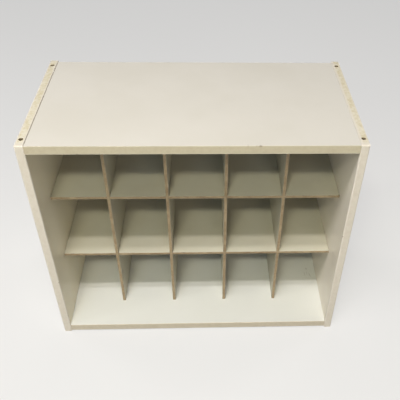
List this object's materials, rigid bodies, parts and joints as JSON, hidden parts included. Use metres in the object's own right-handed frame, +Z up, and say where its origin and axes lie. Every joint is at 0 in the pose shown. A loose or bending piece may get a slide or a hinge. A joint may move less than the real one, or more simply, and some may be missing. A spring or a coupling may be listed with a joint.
{
  "type": "cubby storage unit",
  "caption": "Open-fronted stackable cubby unit of white laminated board, with a half-lapped grid of thin shelves and dividers set back inside and pin holes in the sides for stacking.",
  "frame": {"origin": "on the floor, at the middle of the footprint", "axes": "+X to the right seen from the open front, +Y from front to back, +Z up"},
  "size_m": [0.61, 0.315, 0.508],
  "materials": {
    "white_laminate": "satin white laminate on particle board",
    "edge_band": "cream edge band, slightly yellowed",
    "grid_sheet": "white foil faces with raw brown fibreboard edges",
    "back_sheet": "white inside, raw hardboard behind",
    "dowel_wood": "plain beech",
    "plated_steel": "zinc plated",
    "cast_zinc": "dull cast zinc"
  },
  "bodies": {
    "root": {"left_side_panel": "white_laminate", "right_side_panel": "white_laminate", "top_panel": "white_laminate", "bottom_panel": "white_laminate", "left_side_front_band": "edge_band", "right_side_front_band": "edge_band", "left_side_top_band": "edge_band", "right_side_top_band": "edge_band", "top_front_band": "edge_band", "bottom_front_band": "edge_band", "shelf_1": "grid_sheet", "shelf_2": "grid_sheet", "divider_1": "grid_sheet", "divider_2": "grid_sheet", "divider_3": "grid_sheet", "divider_4": "grid_sheet", "back_panel": "back_sheet", "dowels": "dowel_wood", "cam_bolts": "plated_steel", "cam_locks": "cast_zinc", "back_nails": "plated_steel"}
  },
  "joints": []
}
